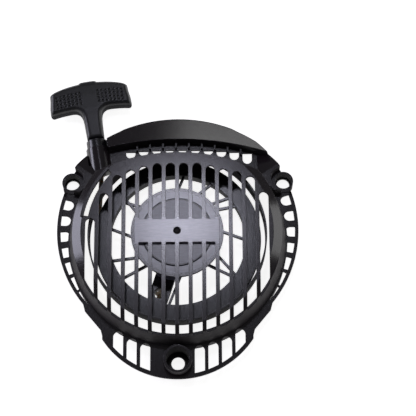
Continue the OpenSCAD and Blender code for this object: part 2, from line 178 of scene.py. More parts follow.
def grid_faces(rings: int, sides: int, closed: bool = False) -> list:
    """Quads of a tube grid with its rings one after another.

    Args:
        rings: number of rings.
        sides: points in each ring.
        closed: whether the last ring joins the first.

    Returns:
        Vertex-number tuples of the quads.
    """
    faces = []
    for i in range(rings if closed else rings - 1):
        j = (i + 1) % rings
        for k in range(sides):
            m = (k + 1) % sides
            faces.append((i * sides + k, i * sides + m, j * sides + m, j * sides + k))
    return faces


def sweep(
    path: np.ndarray,
    radius: Callable[[np.ndarray, np.ndarray], np.ndarray],
    sides: int,
) -> tuple[np.ndarray, np.ndarray, np.ndarray]:
    """Sweep a ring along a path with a steady frame.

    Args:
        path: rows of x, y, z in millimetres.
        radius: gives the radius from the length along the path and the angle round it.
        sides: points in each ring.

    Returns:
        The ring points, the length at each ring and the angles round a ring.
    """
    step = np.diff(path, axis=0)
    length = np.concatenate([[0], np.cumsum(np.linalg.norm(step, axis=1))])
    tangent = np.gradient(path, axis=0)
    tangent /= np.linalg.norm(tangent, axis=1)[:, None]
    normal = np.zeros_like(path)
    start = np.array([0.0, 0.0, 1.0]) if abs(tangent[0][2]) < 0.9 else np.array([1.0, 0.0, 0.0])
    normal[0] = start - tangent[0] * (start @ tangent[0])
    normal[0] /= np.linalg.norm(normal[0])
    for i in range(1, len(path)):
        n = normal[i - 1] - tangent[i] * (normal[i - 1] @ tangent[i])
        normal[i] = n / np.linalg.norm(n)
    binormal = np.cross(tangent, normal)
    angle = np.linspace(0, 2 * math.pi, sides, endpoint=False)
    r = radius(length[:, None], angle[None, :])
    ring = (
        path[:, None, :]
        + r[:, :, None] * np.cos(angle)[None, :, None] * normal[:, None, :]
        + r[:, :, None] * np.sin(angle)[None, :, None] * binormal[:, None, :]
    )
    return ring.reshape(-1, 3), length, angle


def tube_piece(
    name: str,
    path: np.ndarray,
    radius: float,
    sides: int,
    material: bpy.types.Material,
) -> bpy.types.Object:
    """Make a round wire or bar with rounded ends along a path.

    Args:
        name: the piece's name.
        path: rows of x, y, z in millimetres.
        radius: wire radius in millimetres.
        sides: points round the wire.
        material: its finish.

    Returns:
        The new object.
    """
    total = float(np.sum(np.linalg.norm(np.diff(path, axis=0), axis=1)))

    def rounded(s: np.ndarray, a: np.ndarray) -> np.ndarray:
        """Radius that closes as a dome over the last wire radius."""
        d = np.minimum(s, total - s)
        cap = np.sqrt(np.clip(1 - (1 - np.clip(d / radius, 0.02, 1)) ** 2, 0, 1))
        return radius * cap + 0 * a

    points, _, _ = sweep(path, rounded, sides)
    rings = len(path)
    faces = grid_faces(rings, sides)
    faces.append(tuple(range(sides - 1, -1, -1)))
    faces.append(tuple(range((rings - 1) * sides, rings * sides)))
    obj = mesh_piece(name, points, faces, material)
    fix_winding(obj)
    return obj


def resample(points: np.ndarray, spacing: float) -> np.ndarray:
    """Even out a path.

    Args:
        points: rows of x, y, z.
        spacing: wanted distance between neighbours, in the same unit.

    Returns:
        The path with even spacing and the same ends.
    """
    length = np.concatenate([[0], np.cumsum(np.linalg.norm(np.diff(points, axis=0), axis=1))])
    count = max(4, int(length[-1] / spacing) + 1)
    at = np.linspace(0, length[-1], count)
    return np.stack([np.interp(at, length, points[:, i]) for i in range(3)], axis=1)


# ---------------------------------------------------------------- finishes


@dataclass(frozen=True)
class MouldedNylon:
    """Black glass-filled nylon from a steel mould: satin, slightly mottled, with painted highlights along its
    edges and a painted highlight on its middle face.
    """

    name: str
    colour: str
    edge_highlight: str
    roughness: float
    mottle: float = 0.25
    grain_mm: float = 0.35
    grain_depth: float = 0.05
    corner_mm: float = 0.3
    specular: float = 0.5
    pale: str = "#000000"
    painted_highlight_reach_mm: tuple[float, float] = (0.0, 0.0)
    flow_mm: float = 18.0
    drag_mm: float = 1.2
    gate_mm: float = 3.7
    scuff: float = 0.65

    def build(self) -> bpy.types.Material:
        """Make the node material."""
        material, tree = new_material(self.name)
        place = add(tree, "ShaderNodeTexCoord").outputs["Object"]
        # flow marks left by the melt: broad soft patches about 18 mm across
        flow = add(
            tree,
            "ShaderNodeTexNoise",
            {"Vector": place, "Scale": per_mm(self.flow_mm), "Detail": 3.0, "Roughness": 0.6},
        )
        # glass fibre near the surface: fine speckle, drawn at 0.35 mm so that it shows
        grain = add(
            tree,
            "ShaderNodeTexNoise",
            {"Vector": place, "Scale": per_mm(self.grain_mm), "Detail": 2.0},
        )
        smooth = add(tree, "ShaderNodeBevel", {"Radius": self.corner_mm * MM}, samples=8)
        flat = add(tree, "ShaderNodeNewGeometry").outputs["True Normal"]
        turn = add(tree, "ShaderNodeVectorMath", {0: smooth.outputs[0], 1: flat}, operation="DOT_PRODUCT")
        corner = add(
            tree,
            "ShaderNodeMapRange",
            {
                "Value": turn.outputs["Value"],
                "From Min": 0.985,
                "From Max": 0.80,
                "To Min": 0.0,
                "To Max": 1.0,
            },
            clamp=True,
        )
        # painted edge highlight: where the rounded normal turns from the true one the colour goes lighter, in
        # patches from the flow noise
        edge_highlight_mask = add(tree, "ShaderNodeMath", {0: corner.outputs[0], 1: flow.outputs[0]}, operation="MULTIPLY")
        dark = add(
            tree,
            "ShaderNodeMix",
            {
                "Factor": flow.outputs[0],
                6: linear(self.colour),
                7: tuple(c * (1 + self.mottle) for c in linear(self.colour)[:3]) + (1.0,),
            },
            data_type="RGBA",
        )
        # painted highlight on the face in the middle: a paler colour within two half-sizes of the axis,
        # round when they are equal
        spot = add(
            tree,
            "ShaderNodeVectorMath",
            {0: place, 1: tuple(1 / max(r * MM, 1e-6) for r in self.painted_highlight_reach_mm) + (0.0,)},
            operation="MULTIPLY",
        )
        split = add(tree, "ShaderNodeSeparateXYZ", {0: spot.outputs[0]})
        away = [
            add(tree, "ShaderNodeMath", {0: split.outputs[axis]}, operation="ABSOLUTE").outputs[0]
            for axis in (0, 1)
        ]
        if self.painted_highlight_reach_mm[0] == self.painted_highlight_reach_mm[1]:
            farthest = add(
                tree,
                "ShaderNodeVectorMath",
                {0: spot.outputs[0]},
                operation="LENGTH",
            ).outputs["Value"]
        else:
            farthest = add(tree, "ShaderNodeMath", {0: away[0], 1: away[1]}, operation="MAXIMUM").outputs[0]
        near = add(tree, "ShaderNodeMath", {0: farthest, 1: 1.0}, operation="LESS_THAN")
        # the painted highlight leaves out the gate mark on the axis, which is torn, dark and dull
        flat_place = add(tree, "ShaderNodeVectorMath", {0: place, 1: (1.0, 1.0, 0.0)}, operation="MULTIPLY")
        from_axis = add(tree, "ShaderNodeVectorMath", {0: flat_place.outputs[0]}, operation="LENGTH")
        off_gate = add(
            tree,
            "ShaderNodeMath",
            {0: from_axis.outputs["Value"], 1: self.gate_mm * MM},
            operation="GREATER_THAN",
        )
        both = add(tree, "ShaderNodeMath", {0: near.outputs[0], 1: off_gate.outputs[0]}, operation="MULTIPLY")
        streak = add(tree, "ShaderNodeMapping", {"Vector": place, "Scale": (0.15, 1.0, 1.0)})
        # drag-mark streaks in the painted highlight, drawn at 1.2 mm so that they show
        drag = add(
            tree,
            "ShaderNodeTexNoise",
            {"Vector": streak.outputs[0], "Scale": per_mm(self.drag_mm), "Detail": 3.0},
        )
        highlight_streaks = add(
            tree,
            "ShaderNodeMapRange",
            {"Value": drag.outputs[0], "From Min": 0.2, "From Max": 0.8, "To Min": 0.72, "To Max": 1.0},
        )
        # mask of the painted highlight on the middle face, streaked
        matt = add(tree, "ShaderNodeMath", {0: both.outputs[0], 1: highlight_streaks.outputs[0]}, operation="MULTIPLY")
        highlit = add(
            tree,
            "ShaderNodeMix",
            {0: matt.outputs[0], 6: dark.outputs[2], 7: linear(self.pale)},
            data_type="RGBA",
        )
        # mix in the painted edge highlight
        colour = add(
            tree,
            "ShaderNodeMix",
            {0: edge_highlight_mask.outputs[0], 6: highlit.outputs[2], 7: linear(self.edge_highlight)},
            data_type="RGBA",
        )
        # walls along the mould's draw are scuffed as the part leaves it: rougher and duller than the faces
        upright = add(tree, "ShaderNodeSeparateXYZ", {0: flat})
        lying = add(tree, "ShaderNodeMath", {0: upright.outputs[2]}, operation="ABSOLUTE")
        scuffed = add(
            tree,
            "ShaderNodeMapRange",
            {"Value": lying.outputs[0], "From Min": 0.35, "From Max": 0.15, "To Min": 0.0, "To Max": 1.0},
            clamp=True,
        )
        skin = add(
            tree,
            "ShaderNodeMapRange",
            {
                "Value": grain.outputs[0],
                "From Min": 0.3,
                "From Max": 0.7,
                "To Min": self.roughness - 0.05,
                "To Max": self.roughness + 0.07,
            },
        )
        dry_gate = add(tree, "ShaderNodeMath", {0: 1.0, 1: off_gate.outputs[0]}, operation="SUBTRACT")
        matted = add(
            tree,
            "ShaderNodeMath",
            {0: scuffed.outputs[0], 1: dry_gate.outputs[0]},
            operation="MAXIMUM",
        )
        rough = add(
            tree,
            "ShaderNodeMath",
            {0: matted.outputs[0], 1: self.scuff, 2: skin.outputs[0]},
            operation="MULTIPLY_ADD",
        )
        bump = add(
            tree,
            "ShaderNodeBump",
            {
                "Height": grain.outputs[0],
                "Normal": smooth.outputs[0],
                "Strength": self.grain_depth * 4,
                "Distance": 0.05 * MM,
            },
        )
        shader = add(
            tree,
            "ShaderNodeBsdfPrincipled",
            {
                "Base Color": colour.outputs[2],
                "Roughness": rough.outputs[0],
                "Normal": bump.outputs[0],
                "IOR": 1.53,
                "Specular IOR Level": self.specular,
            },
        )
        add(tree, "ShaderNodeOutputMaterial", {"Surface": shader.outputs[0]})
        return material


@dataclass(frozen=True)
class PlatedSteel:
    """Steel with a plated or oiled skin: metallic, faintly cloudy, with hairline handling marks."""

    name: str
    colour: str
    cloud: str
    roughness: float
    cloud_mm: float = 5.0
    scratch_mm: float = 0.3

    def build(self) -> bpy.types.Material:
        """Make the node material."""
        material, tree = new_material(self.name)
        place = add(tree, "ShaderNodeTexCoord").outputs["Object"]
        # uneven plating: clouds a few millimetres across shift the tint between blue and straw
        cloud = add(
            tree,
            "ShaderNodeTexNoise",
            {"Vector": place, "Scale": per_mm(self.cloud_mm), "Detail": 4.0, "Roughness": 0.65},
        )
        stretch = add(
            tree,
            "ShaderNodeMapping",
            {"Vector": place, "Scale": (1.0, 0.06, 1.0), "Rotation": (0.0, 0.0, 0.5)},
        )
        # handling scratches: long thin noise, drawn at 0.3 mm so that it shows
        hair = add(
            tree,
            "ShaderNodeTexNoise",
            {"Vector": stretch.outputs[0], "Scale": per_mm(self.scratch_mm), "Detail": 2.0},
        )
        tint = add(
            tree,
            "ShaderNodeMix",
            {0: cloud.outputs[0], 6: linear(self.colour), 7: linear(self.cloud)},
            data_type="RGBA",
        )
        rough = add(
            tree,
            "ShaderNodeMapRange",
            {
                "Value": hair.outputs[0],
                "From Min": 0.35,
                "From Max": 0.65,
                "To Min": self.roughness - 0.07,
                "To Max": self.roughness + 0.1,
            },
        )
        smooth = add(tree, "ShaderNodeBevel", {"Radius": 0.25 * MM}, samples=4)
        bump = add(
            tree,
            "ShaderNodeBump",
            {"Height": hair.outputs[0], "Normal": smooth.outputs[0], "Strength": 0.12, "Distance": 0.02 * MM},
        )
        shader = add(
            tree,
            "ShaderNodeBsdfPrincipled",
            {
                "Base Color": tint.outputs[2],
                "Metallic": 1.0,
                "Roughness": rough.outputs[0],
                "Normal": bump.outputs[0],
            },
        )
        add(tree, "ShaderNodeOutputMaterial", {"Surface": shader.outputs[0]})
        return material


class RopeMap(Enum):
    """Where the rope pattern takes its place from."""

    ALONG_UV = "uv"
    ALONG_HANDLE_LINE = "line"


@dataclass(frozen=True)
class BraidedRope:
    """Braided polyester starter cord: cream yarn with orange tracer yarns, matt and slightly fuzzy."""

    name: str
    colour: str
    gap_shade: str
    tracer: str
    lay_mm: float
    carriers: int
    mapping: RopeMap
    lean: float = 0.0

    def build(self) -> bpy.types.Material:
        """Make the node material."""
        material, tree = new_material(self.name)
        if self.mapping is RopeMap.ALONG_UV:
            parts = add(
                tree,
                "ShaderNodeSeparateXYZ",
                {0: add(tree, "ShaderNodeUVMap", uv_map="rope").outputs[0]},
            )
            along, turn = parts.outputs[0], parts.outputs[1]
        else:
            place = add(tree, "ShaderNodeTexCoord").outputs["Object"]
            local = add(
                tree,
                "ShaderNodeVectorRotate",
                {"Vector": place, "Center": tuple(Vector(GUIDE_MOUTH) * MM), "Angle": -self.lean},
                rotation_type="Z_AXIS",
            )
            parts = add(tree, "ShaderNodeSeparateXYZ", {0: local.outputs[0]})
            across = add(
                tree,
                "ShaderNodeMath",
                {0: parts.outputs[0], 1: -GUIDE_MOUTH[0] * MM},
                operation="ADD",
            )
            height = add(
                tree,
                "ShaderNodeMath",
                {0: parts.outputs[2], 1: -GUIDE_MOUTH[2] * MM},
                operation="ADD",
            )
            round_it = add(
                tree,
                "ShaderNodeMath",
                {0: height.outputs[0], 1: across.outputs[0]},
                operation="ARCTAN2",
            )
            turn = add(
                tree,
                "ShaderNodeMath",
                {0: round_it.outputs[0], 1: 1 / (2 * math.pi)},
                operation="MULTIPLY",
            ).outputs[0]
            along = parts.outputs[1]
        pitch = add(tree, "ShaderNodeMath", {0: along, 1: 1 / (self.lay_mm * MM)}, operation="MULTIPLY")
        waves = []
        for hand in ("ADD", "SUBTRACT"):
            total = add(tree, "ShaderNodeMath", {0: turn, 1: pitch.outputs[0]}, operation=hand)
            phase = add(
                tree,
                "ShaderNodeMath",
                {0: total.outputs[0], 1: self.carriers * math.pi},
                operation="MULTIPLY",
            )
            waves.append(add(tree, "ShaderNodeMath", {0: phase.outputs[0]}, operation="SINE"))
            if hand == "ADD":
                # two tracer yarns run round one hand of the braid
                part = add(tree, "ShaderNodeMath", {0: total.outputs[0], 1: 2.0}, operation="MULTIPLY")
                frac = add(tree, "ShaderNodeMath", {0: part.outputs[0]}, operation="FRACT")
                tracer = add(
                    tree,
                    "ShaderNodeMath",
                    {0: frac.outputs[0], 1: 1.6 / self.carriers},
                    operation="LESS_THAN",
                )
        cross = add(
            tree,
            "ShaderNodeMath",
            {0: waves[0].outputs[0], 1: waves[1].outputs[0]},
            operation="MULTIPLY",
        )
        over = add(tree, "ShaderNodeMath", {0: cross.outputs[0], 1: 0.0}, operation="GREATER_THAN")
        bulge = add(tree, "ShaderNodeMath", {0: cross.outputs[0]}, operation="ABSOLUTE")
        shown = add(tree, "ShaderNodeMath", {0: over.outputs[0], 1: tracer.outputs[0]}, operation="MULTIPLY")
        fuzz = add(
            tree,
            "ShaderNodeTexNoise",
            {
                "Vector": add(tree, "ShaderNodeTexCoord").outputs["Object"],
                "Scale": per_mm(0.25),
                "Detail": 2.0,
            },
        )
        # painted shade in the gaps between the yarns: the colour darkens where the crossings sink
        yarn = add(
            tree,
            "ShaderNodeMix",
            {0: bulge.outputs[0], 6: linear(self.gap_shade), 7: linear(self.colour)},
            data_type="RGBA",
        )
        colour = add(
            tree,
            "ShaderNodeMix",
            {0: shown.outputs[0], 6: yarn.outputs[2], 7: linear(self.tracer)},
            data_type="RGBA",
        )
        height = add(tree, "ShaderNodeMath", {0: fuzz.outputs[0], 1: bulge.outputs[0]}, operation="ADD")
        bump = add(
            tree,
            "ShaderNodeBump",
            {"Height": height.outputs[0], "Strength": 0.6, "Distance": 0.15 * MM},
        )
        shader = add(
            tree,
            "ShaderNodeBsdfPrincipled",
            {
                "Base Color": colour.outputs[2],
                "Roughness": 0.85,
                "Normal": bump.outputs[0],
                "Sheen Weight": 0.3,
                "Sheen Roughness": 0.5,
            },
        )
        add(tree, "ShaderNodeOutputMaterial", {"Surface": shader.outputs[0]})
        return material


# ---------------------------------------------------------------- sizes shared by the pieces, in millimetres

GUIDE_MOUTH = (-84.6, 108.5, 13.0)
HANDLE_LEAN = math.radians(9)
ROPE_R = 2.4
GROOVE_Z = 11.0
COIL_INNER_R = 76.1
COIL_OUTER_R = 81.0
KNOT_ANGLE = 252.0
KNOT_R = 59.0
RUN_FROM = -38.5
RUN_TO = 54.0
RUN_RINGS = 260


def on_handle_line(across: np.ndarray, along: np.ndarray, height: np.ndarray) -> np.ndarray:
    """Place points given on the handle's own axes.

    Args:
        across: distance to the right of the handle line.
        along: distance out of the guide mouth.
        height: distance above the line.

    Returns:
        Rows of x, y, z in the shared frame, in millimetres.
    """
    c, s = math.cos(HANDLE_LEAN), math.sin(HANDLE_LEAN)
    return np.stack(
        [
            GUIDE_MOUTH[0] + across * c - along * s,
            GUIDE_MOUTH[1] + across * s + along * c,
            GUIDE_MOUTH[2] + height,
        ],
        axis=-1,
    )


def rope_piece(
    name: str,
    path: np.ndarray,
    material: bpy.types.Material,
    radius: float,
    relief: float = 0.16,
) -> bpy.types.Object:
    """Make a braided rope along a path, with its yarn crossings raised in the mesh.

    Args:
        name: the piece's name.
        path: rows of x, y, z in millimetres, about 0.6 mm apart.
        material: its finish, which reads the rope map.
        radius: radius to the top of the yarns.
        relief: how deep the gaps between the yarns are.

    Returns:
        The new object.
    """
    sides, carriers, lay = 28, 8, 14.0

    def braided(s: np.ndarray, a: np.ndarray) -> np.ndarray:
        """Radius with a bump at each yarn crossing."""
        turn = a / (2 * math.pi)
        cross = np.abs(
            np.sin(carriers * math.pi * (turn + s / lay)) * np.sin(carriers * math.pi * (turn - s / lay)),
        )
        return radius - relief * (1 - cross)

    points, length, _ = sweep(path, braided, sides)
    rings = len(path)
    faces = grid_faces(rings, sides)
    faces.append(tuple(range(sides - 1, -1, -1)))
    faces.append(tuple(range((rings - 1) * sides, rings * sides)))
    obj = mesh_piece(name, points, faces, material)
    layer = obj.data.uv_layers.new(name="rope")
    uv = np.zeros((len(obj.data.loops), 2))
    loop_vertex = np.zeros(len(obj.data.loops), int)
    obj.data.loops.foreach_get("vertex_index", loop_vertex)
    uv[:, 0] = length[loop_vertex // sides] * MM
    uv[:, 1] = (loop_vertex % sides) / sides
    for polygon in obj.data.polygons:
        loops = range(polygon.loop_start, polygon.loop_start + polygon.loop_total)
        if polygon.loop_total == 4 and max(uv[i, 1] for i in loops) - min(uv[i, 1] for i in loops) > 0.5:
            for i in loops:
                if uv[i, 1] < 0.5:
                    uv[i, 1] += 1.0
    layer.data.foreach_set("uv", uv.ravel())
    return obj


# ---------------------------------------------------------------- sub-assemblies


@dataclass
class Studio:
    """Camera, pale floor and soft light."""

    camera_at: tuple[float, float, float] = (0.0321, -0.4660, 1.4699)
    looks_at: tuple[float, float, float] = (0.0310, 0.0322, 0.0200)
    roll: float = -0.58
    lens: float = 130.16

    def build(self) -> None:
        """Make the camera, the lights, the world and the floor."""
        self._camera()
        self._lights()
        self._floor()
        scene = bpy.context.scene
        scene.view_settings.view_transform = "Standard"

    def _camera(self) -> None:
        """Aim a long lens at the part from above."""
        data = bpy.data.cameras.new("camera")
        data.lens = self.lens
        data.sensor_width = 36
        data.clip_end = 10
        camera = bpy.data.objects.new("camera", data)
        way = Vector(self.looks_at) - Vector(self.camera_at)
        camera.rotation_mode = "QUATERNION"
        turn = Matrix.Rotation(math.radians(self.roll), 3, "Z").to_quaternion()
        camera.rotation_quaternion = way.to_track_quat("-Z", "Y") @ turn
        camera.location = self.camera_at
        bpy.context.scene.collection.objects.link(camera)
        bpy.context.scene.camera = camera

    def _area(
        self,
        name: str,
        place: tuple[float, float, float],
        size: tuple[float, float],
        watts: float,
        tint: str = "#ffffff",
    ) -> None:
        """Hang one soft box that faces the part.

        Args:
            name: the light's name.
            place: its centre in metres.
            size: its width and height in metres.
            watts: its power.
            tint: its colour.
        """
        data = bpy.data.lights.new(name, "AREA")
        data.shape = "RECTANGLE"
        data.size, data.size_y = size
        data.energy = watts
        light = bpy.data.objects.new(name, data)
        light.location = place
        light.rotation_mode = "QUATERNION"
        light.rotation_quaternion = (-Vector(place)).to_track_quat("-Z", "Y")
        data.color = linear(tint)[:3]
        bpy.context.scene.collection.objects.link(light)

    def _lights(self) -> None:
        """Large soft boxes overhead and to the sides, and an even white room."""
        self._area("box_overhead", (-0.03, 0.50, 1.50), (0.17, 0.15), 1.5, "#ececff")
        self._area("box_left", (-1.42, 0.46, 0.5), (0.8, 0.6), 9.5, "#ecebff")
        self._area("box_right", (1.42, 0.46, 0.5), (0.8, 0.6), 3.4)
        self._area("box_back", (0.2, 1.2, 1.3), (0.5, 0.3), 1.5)
        world = bpy.data.worlds.new("room")
        world.use_nodes = True
        world.node_tree.nodes.clear()
        sky = add(world.node_tree, "ShaderNodeBackground", {"Color": linear("#fbfbff"), "Strength": 0.12})
        add(world.node_tree, "ShaderNodeOutputWorld", {"Surface": sky.outputs[0]})
        bpy.context.scene.world = world

    def _floor(self) -> None:
        """A matt white sweep that glows a little, as a lit paper does."""
        material, tree = new_material("paper_sweep")
        noise = add(
            tree,
            "ShaderNodeTexNoise",
            {
                "Vector": add(tree, "ShaderNodeTexCoord").outputs["Object"],
                "Scale": per_mm(1.5),
                "Detail": 2.0,
            },
        )
        rough = add(tree, "ShaderNodeMapRange", {"Value": noise.outputs[0], "To Min": 0.9, "To Max": 1.0})
        shader = add(
            tree,
            "ShaderNodeBsdfPrincipled",
            {
                "Base Color": linear("#f6f4f1"),
                "Roughness": rough.outputs[0],
                "Specular IOR Level": 0.0,
                "Emission Color": linear("#ffffff"),
                "Emission Strength": 0.86,
            },
        )
        add(tree, "ShaderNodeOutputMaterial", {"Surface": shader.outputs[0]})
        side, count = 6.0, 24
        xs = np.linspace(-side / 2, side / 2, count + 1)
        grid = np.array([(x, y, -0.0004) for y in xs for x in xs]) / MM
        faces = [
            (
                j * (count + 1) + i,
                j * (count + 1) + i + 1,
                (j + 1) * (count + 1) + i + 1,
                (j + 1) * (count + 1) + i,
            )
            for j in range(count)
            for i in range(count)
        ]
        mesh_piece("floor", grid, faces, material)


class Shop:
    """The finishes, each made once."""

    def __init__(self) -> None:
        """Build every material."""
        # In each moulded finish below, the second colour is a painted edge highlight and the pale colour is a
        # painted highlight on the middle face.
        self.housing = MouldedNylon(
            "glass_filled_nylon_black",
            "#1e191d",
            "#46434c",
            0.15,
            pale="#93919c",
            painted_highlight_reach_mm=(51.0, 13.6),
        ).build()
        self.pulley = MouldedNylon(
            "nylon_pulley_dark",
            "#18171b",
            "#45444c",
            0.15,
            pale="#777684",
            painted_highlight_reach_mm=(43.0, 43.0),
        ).build()
        self.keeper = MouldedNylon(
            "nylon_keeper_dark",
            "#1f1e24",
            "#6c6b76",
            0.22,
            pale="#757482",
            painted_highlight_reach_mm=(33.4, 33.4),
        ).build()
        self.grip = MouldedNylon(
            "nylon_grip_charcoal",
            "#1b1b1e",
            "#45444a",
            0.36,
            grain_mm=0.5,
            grain_depth=0.2,
        ).build()
        self.guide = MouldedNylon("acetal_guide_black", "#17161a", "#3b3a40", 0.24, mottle=0.1).build()
        self.zinc = PlatedSteel("steel_bright_zinc", "#c4c7cb", "#d6d2c6", 0.3).build()
        self.screw = PlatedSteel("steel_zinc_screw", "#b9bcc2", "#cfcabb", 0.26, cloud_mm=2.5).build()
        self.sleeve = PlatedSteel("steel_turned_sleeve", "#a9abb0", "#8f9196", 0.22).build()
        self.spring = PlatedSteel("spring_steel_blued", "#5d6068", "#6f6a63", 0.35, cloud_mm=8).build()
        self.wire = PlatedSteel("spring_wire_bright", "#8f9298", "#7c7a76", 0.3, cloud_mm=3).build()
        self.pawl = PlatedSteel("steel_sintered_pawl", "#6d6f73", "#57585b", 0.5, cloud_mm=1.2).build()
        # the second rope colour is a painted shade for the gaps between its yarns
        rope = dict(colour="#e9dfc8", gap_shade="#a89671", tracer="#d9822b", lay_mm=14.0, carriers=8)
        self.rope = BraidedRope("polyester_braid", mapping=RopeMap.ALONG_UV, **rope).build()
        self.rope_run = BraidedRope(
            "polyester_braid_drawn",
            mapping=RopeMap.ALONG_HANDLE_LINE,
            lean=HANDLE_LEAN,
            **rope
        ).build()


@dataclass
class HousingUnit:
    """The moulded housing with its guide, sleeve, screw and washer."""

    shop: Shop

    def build(self) -> None:
        """Dress each piece in its own finish."""
        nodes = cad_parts
        dress(nodes["housing"], self.shop.housing)
        dress(nodes["rope_guide"], self.shop.guide)
        dress(nodes["pivot_sleeve"], self.shop.sleeve)
        dress(nodes["screw_washer"], self.shop.zinc)
        dress(nodes["centre_screw"], self.shop.screw)


@dataclass
class RopeUnit:
    """The rope on the pulley, its knots, and the run to the handle."""

    shop: Shop

    def build(self) -> None:
        """Make the wound rope, the knots and the run."""
        self._wound()
        self._knot("rope_end_knot", "pulley", "rope_knot", self._pulley_knot_path())
        self._knot("rope_grip_knot", "handle", "handle_knot", self._grip_knot_path())
        self._run()

    def _wound(self) -> None:
        """Outer layer, the step down beside the rope window, and the inner layer."""
        outer = np.radians(np.linspace(181, 514, 700))
        step = np.radians(np.linspace(514.5, 536, 50))
        inner = np.radians(np.linspace(536.5, 868, 700))
        drop = (1 - np.cos(np.linspace(0, math.pi, len(step)))) / 2
        angle = np.concatenate([outer, step, inner])
        radius = np.concatenate(
            [
                np.full(len(outer), COIL_OUTER_R),
                COIL_OUTER_R - drop * (COIL_OUTER_R - COIL_INNER_R),
                np.full(len(inner), COIL_INNER_R),
            ]
        )
        path = np.stack(
            [radius * np.cos(angle), radius * np.sin(angle), np.full(len(angle), GROOVE_Z)],
            axis=1,
        )
        obj = rope_piece("wound_rope", resample(path, 0.65), self.shop.rope, ROPE_R)
        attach(obj, "pulley")
        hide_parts("rope_coil")

    def _trefoil(self, size: float) -> np.ndarray:
        """Centre line of a pulled-tight overhand knot about the origin.

        Args:
            size: half width of the centre line in millimetres.

        Returns:
            Rows of x, y, z.
        """
        t = np.linspace(0.35, 2 * math.pi - 0.35, 160)
        knot = np.stack(
            [np.sin(t) + 2 * np.sin(2 * t), np.cos(t) - 2 * np.cos(2 * t), -1.6 * np.sin(3 * t)],
            axis=1,
        )
        return knot * size / 3.0

    def _pulley_knot_path(self) -> np.ndarray:
        """The knot in the block at the pulley's lower edge, with its tail up."""
        knot = self._trefoil(2.9)
        tail = np.array([knot[-1] + (0.0, 0.0, 1.5), (0.6, 0.4, 6.0), (0.8, 0.4, 9.3)])
        path = np.concatenate([[(10.5, 0.0, 0.0), (5.5, 0.0, 0.0)], knot, tail])
        a = math.radians(KNOT_ANGLE)
        turned = np.stack(
            [
                path[:, 0] * math.cos(a) - path[:, 1] * math.sin(a),
                path[:, 0] * math.sin(a) + path[:, 1] * math.cos(a),
                path[:, 2],
            ],
            axis=1,
        )
        return turned + (KNOT_R * math.cos(a), KNOT_R * math.sin(a), GROOVE_Z)

    def _grip_knot_path(self) -> np.ndarray:
        """The knot that holds the rope inside the grip."""
        knot = self._trefoil(2.6)
        return on_handle_line(knot[:, 0], 58.7 + knot[:, 2], knot[:, 1])

    def _knot(self, name: str, body: str, node: str, path: np.ndarray) -> None:
        """Make one knot from its centre line.

        Args:
            name: the piece's name.
            body: the body it rides on.
            node: the plain solid it stands for.
            path: its centre line in millimetres.
        """
        obj = rope_piece(name, resample(path, 0.6), self.shop.rope, 1.9)
        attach(obj, body)
        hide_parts(node)

    def _run(self) -> None:
        """The run from the pulley to the guide, and the length that is drawn out with the handle."""
        y0 = RUN_FROM
        corner = on_handle_line(np.array(0.0), np.array(y0), np.array(0.0))
        lead = np.array(
            [
                (-COIL_OUTER_R - 0.2, 1.0, GROOVE_Z),
                corner * 0.5 + np.array((-COIL_OUTER_R - 0.2, 1.0, GROOVE_Z)) * 0.5,
                corner,
            ],
        )
        obj = rope_piece("rope_lead", resample(lead, 0.65), self.shop.rope, ROPE_R)
        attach(obj, "housing")
        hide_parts("rope_run")
        along = np.linspace(y0, RUN_TO, RUN_RINGS)
        path = on_handle_line(np.zeros(RUN_RINGS), along, np.zeros(RUN_RINGS))
        drawn = tube_piece("rope_drawn", path, ROPE_R - 0.05, 24, self.shop.rope_run)
        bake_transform(drawn)


